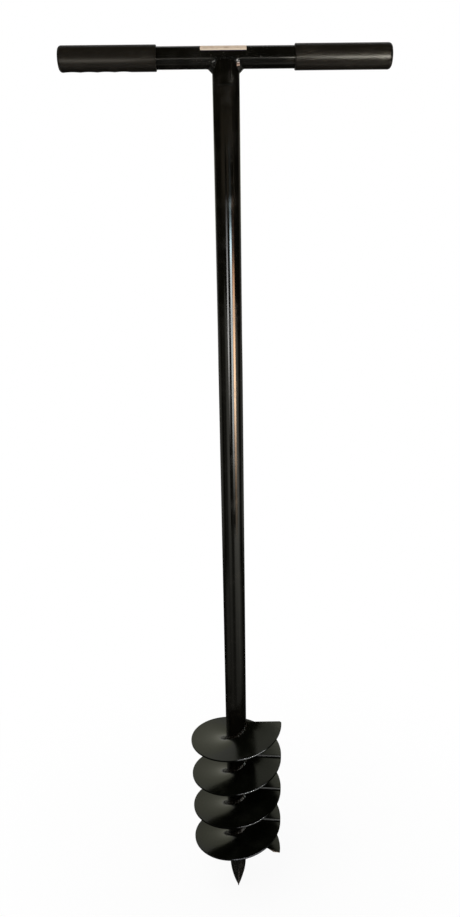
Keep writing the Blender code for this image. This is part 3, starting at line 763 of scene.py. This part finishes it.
fillet_shape = fillet_rule()
bead_paint = weld_paint("flight_weld_paint", rough=0.15, lumps=0.30, gloss_level=0.13, tint=(1.0, 0.90, 0.80))
for turn in range(FLIGHT_COUNT):
    for side, place in ((1.0, "upper"), (-1.0, "lower")):
        start = BEAD_START if side > 0 and turn > 0 else BEAD_START - LAP
        end = BEAD_END if side > 0 else BEAD_END - LAP
        if turn == FLIGHT_COUNT - 1:
            end = LAST_BEAD_END
        bead = follow_rule(
            fillet_shape, Bore=FLIGHT_BORE, Plate=PLATE, Top=FLIGHT_TOP - TURN_SPACING * turn, Pitch=PITCH,
            Seam=SEAM_ANGLE, First=start, Last=end, Side=side, Out=BEAD_OUT, Up=BEAD_UP, Gap=BEAD_GAP,
            Pools=24.0, Pool_Depth=0.06, Seed=turn * 2.0 + side, Steps=BEAD_STEPS, Finish=bead_paint)
        finish_piece(f"plate_{turn + 1}_{place}_bead", closed(bead), bead_paint,
                     [f"flight_{turn + 1}_{place}_weld"])


# Lap welds.
# A short bead under each lap, between the upper plate and the end of the lower one. The frame's own
# beads show, in the same paint.
for turn in range(1, FLIGHT_COUNT):
    lap_bead = frame["nodes"][f"seam_weld_{turn}"]
    lap_bead.data.materials.clear()
    lap_bead.data.materials.append(bead_paint)


# Pilot point.
# A forged steel spike, its round shank set into the foot of the tube and its body drawn down to
# four ridges. The paint is worn through to brown steel on the ridges and round the tip.
POINT_SHOULDER = SHAFT_FOOT - 0.006
SHANK_RADIUS, SHANK_LENGTH = SHAFT_BORE - SEAT, 0.018
POINT_ROWS, POINT_ROW_EASE, POINT_SIDES = 46, 1.3, 96
POINT_OGIVE, POINT_TIP = 2.1, 0.0009
POINT_SQUARE, POINT_SQUARE_TO = 0.94, 0.62
RIDGE_TURN = radians(4.0)
POINT_BROWN, POINT_DARK = (0.20, 0.175, 0.160), (0.095, 0.070, 0.056)
POINT_PAINT, POINT_PAINT_DUSTY = (0.0060, 0.0058, 0.0046), (0.0170, 0.0162, 0.0132)


def point_mesh():
    rows = []
    for step in range(POINT_ROWS + 1):
        height = POINT_SHOULDER * (step / POINT_ROWS) ** POINT_ROW_EASE
        radius = max(SHANK_RADIUS * (1 - (1 - height / POINT_SHOULDER) ** POINT_OGIVE), POINT_TIP)
        share = min(height / (POINT_SHOULDER * POINT_SQUARE_TO), 1.0)
        rows.append((height, radius, POINT_SQUARE * (1 - share * share * (3 - 2 * share))))
    rows.append((SHAFT_FOOT + SHANK_LENGTH, SHANK_RADIUS, 0.0))
    bm = bmesh.new()
    rings = []
    for height, radius, squareness in rows:
        ring = []
        for side in range(POINT_SIDES):
            turn = tau * side / POINT_SIDES
            flat = radius / (abs(cos(turn)) + abs(sin(turn)))
            reach = radius + (flat - radius) * squareness
            aim = turn + RIDGE_TURN
            ring.append(bm.verts.new((reach * cos(aim), reach * sin(aim), height)))
        rings.append(ring)
    for lower, upper in zip(rings, rings[1:]):
        for side in range(POINT_SIDES):
            after = (side + 1) % POINT_SIDES
            bm.faces.new((lower[side], lower[after], upper[after], upper[side]))
    bm.faces.new(rings[0])
    bm.faces.new(rings[-1])
    return mesh_of(bm, "point")


def point_steel():
    finish, bench, where = start_finish("point_steel")
    ridge_wander, tip_wander, ridge_share = 0.0022, 0.012, 0.7
    rough, dusty_rough, bare_rough, bare_metal = 0.24, 0.12, 0.12, 0.6
    turned = bench.node("ShaderNodeMapping", {"vector_type": "POINT"},
                        {"Vector": where, "Rotation": (0.0, 0.0, -RIDGE_TURN)})
    x, y, z = bench.parts(turned)
    from_ridge = bench.least(abs(x), abs(y))
    from_ridge = from_ridge + (bench.noise(where, scale=420.0, detail=4.0) - 0.5) * ridge_wander
    ridge = bench.fall(from_ridge, low=0.0002, high=0.0011) * bench.fall(z, low=0.030, high=0.060)
    above_tip = z + (bench.noise(where, scale=300.0, detail=4.0) - 0.5) * tip_wander
    bare = bench.least(ridge * ridge_share + bench.fall(above_tip, low=0.005, high=0.013), 1.0)
    grain = bench.noise(where, scale=700.0, detail=4.0)
    steel_and_glint = bench.blend(bench.rise(grain, low=0.38, high=0.66), POINT_BROWN, POINT_DARK)
    dust = bench.rise(bench.noise(where, scale=120.0, detail=4.0), low=0.45, high=0.70)
    paint = bench.blend(dust, POINT_PAINT, POINT_PAINT_DUSTY)
    forged = bench.bump(bench.noise(where, scale=110.0), strength=0.35, distance=0.0012)
    bench.set(Base_Color=bench.blend(bare, paint, steel_and_glint),
              Roughness=rough + dust * dusty_rough + bare * bare_rough, Metallic=bare * bare_metal,
              Specular_IOR_Level=0.4, Normal=bench.bump(grain, strength=0.25, distance=0.0002, under=forged))
    return finish


finish_piece("spike", point_mesh(), point_steel(), ["pilot_point"])


# Point weld.
# A ring bead under the tube's foot that holds the spike's shank, in pools like the others and
# painted with them.
RING_FOOT = SHAFT_FOOT - SEAT
RING_ACROSS, RING_DEPTH, RING_STEPS = 0.0030, 0.0044, 8
RING_POOLS, RING_POOL_DEPTH, RING_DRIFT, RING_DRIFTS = 19, 0.05, 1.2, 3
ring_outline = [(SHAFT_BORE, RING_FOOT)]
for step in range(RING_STEPS + 1):
    down = radians(90 * step / RING_STEPS)
    ring_outline.append((SHAFT_BORE + RING_ACROSS * cos(down), RING_FOOT - RING_DEPTH * sin(down)))
ring_bead = spun(ring_outline, SHAFT_SIDES, Matrix.Identity(4))
for vert in ring_bead.vertices:
    turn = atan2(vert.co.y, vert.co.x)
    wave = sin(turn * RING_POOLS + RING_DRIFT * sin(turn * RING_DRIFTS))
    vert.co.z = RING_FOOT - (RING_FOOT - vert.co.z) * (1 - RING_POOL_DEPTH + RING_POOL_DEPTH * wave)
finish_piece("point_bead", ring_bead, bead_paint, ["point_weld"])


# Camera.
# Placed and turned as the photograph was taken, just below the handle's height and looking down, as
# the shaft's taper, the handle's ends and the flights' rims show.
CAMERA_PLACE = Vector((-0.01504, -1.163175, 1.294900))
HEADING, DIP, LEAN = radians(1.332), radians(23.670), radians(-0.662)
FOCAL_PIXELS, LONG_SIDE, SENSOR = 867.885, 917, 36
SHIFT_ACROSS, SHIFT_UP = -0.0116, 0.0356
ahead = Vector((sin(HEADING) * cos(DIP), cos(HEADING) * cos(DIP), -sin(DIP)))
level = ahead.cross(Vector((0, 0, 1))).normalized()
square = level.cross(ahead)
right = level * cos(LEAN) + square * sin(LEAN)
above = square * cos(LEAN) - level * sin(LEAN)
camera_data = bpy.data.cameras.new("camera")
camera_data.sensor_width = SENSOR
camera_data.lens = FOCAL_PIXELS / LONG_SIDE * SENSOR
camera_data.shift_x = SHIFT_ACROSS
camera_data.shift_y = SHIFT_UP
camera = put("camera", camera_data)
camera.matrix_world = Matrix.Translation(CAMERA_PLACE) @ Matrix((right, above, -ahead)).transposed().to_4x4()
bpy.context.scene.camera = camera


# Floor and room.
# A pale studio floor, white to the lens, that keeps the tool's shadow. The floor, walls and roof of
# the room are lined with black cloth that only shows in the gloss, open at the back, and two more
# pieces of it hang as a shelf below the handle and a flag behind it. The cloth glows in soft pools
# and bands, painted reflections that show only in the gloss.
BLACK, WHITE = (0.0, 0.0, 0.0), (1.0, 1.0, 1.0)
FLOOR_GREY, FLOOR_ROUGH = (0.86, 0.86, 0.86), 0.9
FLOOR_REACH, FLOOR_HEIGHT = 9.0, -0.0004
WHITE_NEAR, WHITE_FROM, WHITE_FULL = 0.91, 0.10, 0.75


def plain_sheet(name, corners, finish):
    """A stage mesh of four-cornered faces."""
    mesh = bpy.data.meshes.new(name)
    mesh.from_pydata(corners, [], [tuple(range(first, first + 4)) for first in range(0, len(corners), 4)])
    mesh.materials.append(finish)
    sheet = put(name, mesh)
    return sheet


def gloss_sheet(name, corners, finish):
    """A stage mesh that only shows in the gloss."""
    sheet = plain_sheet(name, corners, finish)
    for way in ("camera", "diffuse", "shadow", "transmission"):
        setattr(sheet, f"visible_{way}", False)
    return sheet


def start_glow(name, strength):
    """What start_finish gives, for a finish that only glows."""
    finish, bench, where = start_finish(name)
    bench.set(Base_Color=BLACK, Specular_IOR_Level=0.0, Emission_Strength=strength)
    return finish, bench, where


def seen_white(bench):
    """1 for the rays that show the background, 0 for those that light the tool."""
    ways = bench.tree.nodes.new("ShaderNodeLightPath")
    seen = Wire(bench, ways.outputs["Is Camera Ray"])
    seen = bench.most(seen, Wire(bench, ways.outputs["Is Glossy Ray"]))
    return bench.most(seen, Wire(bench, ways.outputs["Is Transmission Ray"]))


def spread(half, one, other):
    """Corners of a sheet that reaches as far left as right, from one (y, z) line to the other."""
    return [(-half, *one), (half, *one), (half, *other), (-half, *other)]


def wall(start, end, high):
    return [(*start, 0.0), (*end, 0.0), (*end, high), (*start, high)]


floor_finish, bench, where = start_finish("pale_floor")
x, y = bench.parts(where)[:2]
away = (x * x + y * y) ** 0.5
bench.set(Base_Color=FLOOR_GREY, Roughness=FLOOR_ROUGH, Specular_IOR_Level=0.0)
paper = bench.node("ShaderNodeEmission", None, {"Color": WHITE, "Strength": 1.0})
share = WHITE_NEAR + (1.0 - WHITE_NEAR) * bench.rise(away, WHITE_FROM, WHITE_FULL)
both = bench.node("ShaderNodeMixShader", None,
                  {0: seen_white(bench) * share, 1: Wire(bench, bench.shader.outputs[0]), 2: paper})
bench.feed(floor_finish.node_tree.nodes["Material Output"].inputs["Surface"], both)
floor_corners = spread(FLOOR_REACH, (-FLOOR_REACH, FLOOR_HEIGHT), (FLOOR_REACH, FLOOR_HEIGHT))
plain_sheet("floor", floor_corners, floor_finish)

# A band's row holds its four limits, in radians or metres, and then its brightness where it has one.
CLOTH_BLACK, CLOTH_BRIGHTEST, CLOTH_LEAST = (0.004, 0.004, 0.004), 4.0, 0.012
CLOTH_LOW_TINT, CLOTH_HIGH_TINT = (1.0, 0.98, 0.86), (1.0, 0.82, 0.58)
RIGHT_POOL, LEFT_POOL = (0.05, 0.40, 0.85, 1.50, 1.6), (-1.00, -0.60, -0.45, -0.15, 0.7)
POOL_REACH, POOL_LIMIT, POOL_EASE = 1.25, 1.2, 2.2
FRONT_GLOW, SIDE_POOL = 0.12, (1.60, 2.00, 2.35, 2.70, 0.26)
NEAR_RING, NEAR_POOL = (0.40, 0.65, 0.85, 1.10), (0.80, 1.05, 1.40, 1.90, 0.20)
UNDER_SHELF, RIGHT_WALL = (1.300, 1.305, 1.325, 1.330, 0.10), (1.92, 2.08, 2.18, 2.36, 0.26)
FRONT_WALL, FRONT_WALL_GLOW, FRONT_WALL_FADE = (0.45, 0.90, 1.25, 1.30), 0.42, 0.14
# The cloth's glow in pools, walls and bands is painted reflection: light that shows only in the gloss.
cloth_finish, bench, where = start_glow("black_cloth", CLOTH_BRIGHTEST)
x, y, z = bench.parts(where)
aim = bench.maths("ARCTAN2", x, -y)
aside = abs(aim)
away = (x * x + y * y) ** 0.5
pools = bench.band(aim, *RIGHT_POOL) + bench.band(aim, *LEFT_POOL)
pools = pools * bench.least(away / POOL_REACH, POOL_LIMIT) ** POOL_EASE
pools = pools + FRONT_GLOW * bench.fall(y, low=-0.6, high=0.0)
pools = pools + bench.band(aside, *SIDE_POOL) * bench.rise(away, low=1.0, high=1.5)
pools = pools + bench.band(away, *NEAR_RING) * bench.band(aside, *NEAR_POOL)
glow = pools * bench.fall(z, low=0.0, high=0.02) + CLOTH_LEAST + bench.band(z, *UNDER_SHELF)
front_wall = bench.fall(aside, low=0.65, high=1.20) * bench.band(z, *FRONT_WALL)
front_wall = front_wall * (FRONT_WALL_GLOW - FRONT_WALL_FADE * bench.rise(z, low=0.85, high=1.10))
right_wall = bench.band(aim, *RIGHT_WALL) * bench.fall(z, low=1.26, high=1.30)
glow = glow + (front_wall + right_wall) * bench.rise(z, low=0.02, high=0.05)
tint = bench.blend(bench.rise(z, low=0.02, high=0.20), CLOTH_LOW_TINT, CLOTH_HIGH_TINT)
bench.set(Base_Color=CLOTH_BLACK, Roughness=1.0,
          Emission_Color=bench.blend(glow / CLOTH_BRIGHTEST, BLACK, tint))

ROOM, ROOF, ROOF_END, WALL_END = 3.5, 2.4, 0.85, 2.2
FAR, FAR_HIGH, GAP_NEAR, GAP_FAR = 30.0, 3.2, 2.0, 17.3
SHELF_HALF, SHELF_NEAR, SHELF_FAR, CLOTH_UNDER = 0.4, (-0.024, 1.325), (-0.39, 1.3113), 0.002
FLAG_HALF, FLAG_FOOT, FLAG_TOP = 0.6, (0.25, 1.36), (0.307, 1.60)
cloth_sheets = spread(ROOM, (-ROOM, 0.0), (ROOM, 0.0)) + spread(ROOM, (-ROOM, 0.0), (-ROOM, ROOF))
cloth_sheets += spread(ROOM, (-ROOM, ROOF), (ROOF_END, ROOF)) + spread(FLAG_HALF, FLAG_FOOT, FLAG_TOP)
cloth_sheets += [(x, y, z - CLOTH_UNDER) for x, y, z in spread(SHELF_HALF, SHELF_NEAR, SHELF_FAR)]
for side in (-1, 1):
    near, far = side * ROOM, side * FAR
    gap_near, gap_far = side * GAP_NEAR, side * GAP_FAR
    cloth_sheets += wall((near, -ROOM), (near, WALL_END), ROOF)
    cloth_sheets += [(gap_near, ROOM, 0.0), (near, ROOM, 0.0), (far, FAR, 0.0), (gap_far, FAR, 0.0)]
    cloth_sheets += [(near, -ROOM, 0.0), (far, -ROOM, 0.0), (far, FAR, 0.0), (near, ROOM, 0.0)]
    cloth_sheets += wall((gap_far, FAR), (far, FAR), FAR_HIGH) + wall((far, FAR), (far, -ROOM), FAR_HIGH)
gloss_sheet("black_cloth", cloth_sheets, cloth_finish)


# Light.
# The world lights the tool evenly, and one large soft lamp from above gives the floor its shadow.
# Sheets that show only in the gloss draw what it mirrors: three tall ones in front the streaks on the
# tube, a shelf the line along the handle, and a roof panel and a cream wall the tone of the plates.
WORLD_LIGHT = 0.70
LAMP_PLACE, LAMP_AIM = Vector((-0.9, -1.2, 3.0)), Vector((0.0, 0.0, 0.4))
LAMP_SIZE, LAMP_POWER, LAMP_COLOUR = 1.8, 40.0, (1.0, 0.98, 0.95)
bpy.context.scene.view_settings.view_transform = "Standard"
world = bpy.data.worlds.new("studio")
world.use_nodes = True
bpy.context.scene.world = world
bench = Bench(world.node_tree, "Background")
bench.set(Color=WHITE, Strength=WORLD_LIGHT + seen_white(bench) * (1.0 - WORLD_LIGHT))
lamp_data = bpy.data.lights.new("soft_lamp", "AREA")
lamp_data.shape = "RECTANGLE"
lamp_data.size = LAMP_SIZE
lamp_data.size_y = LAMP_SIZE
lamp_data.energy = LAMP_POWER
lamp_data.color = LAMP_COLOUR
lamp = put("soft_lamp", lamp_data)
lamp.rotation_mode = "QUATERNION"
lamp.location = LAMP_PLACE
lamp.rotation_quaternion = (LAMP_AIM - LAMP_PLACE).to_track_quat("-Z", "Y")
lamp.visible_glossy = False

# The tall sheets don't reach the plates, which would throw them back as glare to a lens behind the
# tool. The orange one doesn't reach the plates' beads either, whose glints are grey.
CARD_AWAY, CARD_HIGH, CARD_SPARE, CARD_FULL = 1.2, 1.2, 1.2, 0.6
flight_pieces = [piece for piece in bpy.data.objects if piece.name.startswith("plate_")]
others = [piece for piece in bpy.data.objects if piece.type == "MESH" and piece not in flight_pieces]
others_and_beads = others + [piece for piece in flight_pieces if "bead" in piece.name]


def colour_ramp(bench, share, stops):
    """A colour that follows a share through rows of a place and its colour."""
    colour = bench.node("ShaderNodeValToRGB", None, {0: share})
    ramp = colour.socket.node.color_ramp
    for place, (at, shade) in enumerate(stops):
        stop = ramp.elements[place] if place < 2 else ramp.elements.new(at)
        stop.position = at
        stop.color = (*shade, 1.0)
    return colour


def glow_card(name, turn, wide, strength, pieces, stops):
    """A tall narrow sheet in front of some pieces, its colour set by height, soft at both sides."""
    aim = radians(turn)
    half = CARD_AWAY * tan(radians(wide / 2)) * CARD_SPARE
    across = Vector((cos(aim), sin(aim), 0))
    stand = Vector((sin(aim), -cos(aim), 0)) * CARD_AWAY
    finish, bench, where = start_glow(name, strength)
    x, y, z = bench.parts(where)
    off = abs(x * across.x + y * across.y)
    colour = colour_ramp(bench, z / CARD_HIGH, stops)
    bench.set(Emission_Color=bench.blend(bench.rise(off, half * CARD_FULL, half), colour, BLACK))
    corners = [stand - across * half, stand + across * half]
    corners += [corner + Vector((0, 0, CARD_HIGH)) for corner in reversed(corners)]
    sheet = gloss_sheet(name, corners, finish)
    reached = bpy.data.collections.new(f"{name}_reaches")
    for piece in pieces:
        reached.objects.link(piece)
    sheet.light_linking.receiver_collection = reached


glow_card("left_glow", turn=-15.0, wide=12.0, strength=16.0, pieces=others_and_beads, stops=[
    (0.26, BLACK), (0.41, (0.28, 0.27, 0.25)), (0.51, (0.93, 0.92, 0.90)), (0.60, (1.0, 1.0, 0.98)),
    (0.70, (0.66, 0.66, 0.66)), (0.78, (0.42, 0.42, 0.43)), (0.88, BLACK)])
glow_card("middle_glow", turn=18.0, wide=16.0, strength=36.0, pieces=others_and_beads, stops=[
    (0.06, BLACK), (0.20, (0.11, 0.11, 0.10)), (0.31, (0.29, 0.31, 0.31)), (0.51, (0.44, 0.48, 0.48)),
    (0.70, (0.56, 0.62, 0.63)), (0.78, (0.76, 0.98, 1.08)), (0.83, (0.12, 0.16, 0.18)),
    (0.88, (0.011, 0.012, 0.012)), (1.0, (0.006, 0.006, 0.006))])
glow_card("right_glow", turn=39.0, wide=20.0, strength=40.0, pieces=others, stops=[
    (0.0, (0.045, 0.036, 0.028)), (0.12, (0.06, 0.045, 0.03)), (0.26, (0.30, 0.20, 0.13)),
    (0.41, (1.0, 0.70, 0.46)), (0.52, (0.95, 0.60, 0.36)), (0.60, (0.73, 0.47, 0.28)),
    (0.69, (0.50, 0.27, 0.15)), (0.76, (0.06, 0.035, 0.025)), (0.86, BLACK)])

PANEL_GLOW, PANEL_NEAR, PANEL_ACROSS = 2.6, 0.12, (0.0, 0.12, 0.55, 0.75)
PANEL_DIM, PANEL_BRIGHT = (0.385, 0.385, 0.385), (1.0, 1.0, 0.98)
PANEL_CORNERS = [(-0.1, 0.9, ROOF), (0.8, 0.9, ROOF), (0.8, 1.9, ROOF), (-0.1, 1.9, ROOF)]
panel_finish, bench, where = start_glow("roof_panel", PANEL_GLOW)
x, y = bench.parts(where)[:2]
lit = PANEL_NEAR + (1.0 - PANEL_NEAR) * bench.rise(y, low=1.20, high=1.42)
lit = bench.band(x, *PANEL_ACROSS) * lit
bench.set(Emission_Color=bench.blend(lit, PANEL_DIM, PANEL_BRIGHT))
gloss_sheet("roof_panel", PANEL_CORNERS, panel_finish)

CREAM, CREAM_GLOW = (1.0, 1.0, 0.84), 1.0
CREAM_HALF, CREAM_AWAY, CREAM_HIGH = 3.7, 8.0, 4.6
cream_finish, bench = start_glow("cream_wall", CREAM_GLOW)[:2]
bench.set(Emission_Color=CREAM)
gloss_sheet("cream_wall", spread(CREAM_HALF, (CREAM_AWAY, 0.0), (CREAM_AWAY, CREAM_HIGH)), cream_finish)

SHELF_BRIGHTEST, SHELF_DARK = 120.0, (0.0010, 0.0010, 0.0009)
LINE_NEAR, LINE_FAR, LINE_EASE = 0.185, 0.350, 0.01
LEFT_NEAR_SHIFT, LEFT_FAR_SHIFT = 0.120, 0.165
shelf_finish, bench, where = start_glow("handle_shelf", SHELF_BRIGHTEST)
x, y = bench.parts(where)[:2]
shelf_light = colour_ramp(bench, x + 0.5, [
    (0.10, (0.034, 0.032, 0.028)), (0.385, (0.034, 0.032, 0.028)), (0.405, (0.030, 0.029, 0.026)),
    (0.605, (0.026, 0.025, 0.023)), (0.630, (0.25, 0.24, 0.21)), (0.68, (0.52, 0.50, 0.44)),
    (0.75, (1.0, 0.96, 0.84))])
at_left = bench.fall(x, low=-0.115, high=-0.090)
past_near = -y - (LINE_NEAR - LEFT_NEAR_SHIFT * at_left)
past_far = -y - (LINE_FAR - LEFT_FAR_SHIFT * at_left)
lit = bench.rise(past_near, 0.0, LINE_EASE) * bench.fall(past_far, 0.0, LINE_EASE)
bench.set(Emission_Color=bench.blend(lit, SHELF_DARK, shelf_light))
gloss_sheet("handle_shelf", spread(SHELF_HALF, SHELF_NEAR, SHELF_FAR), shelf_finish)
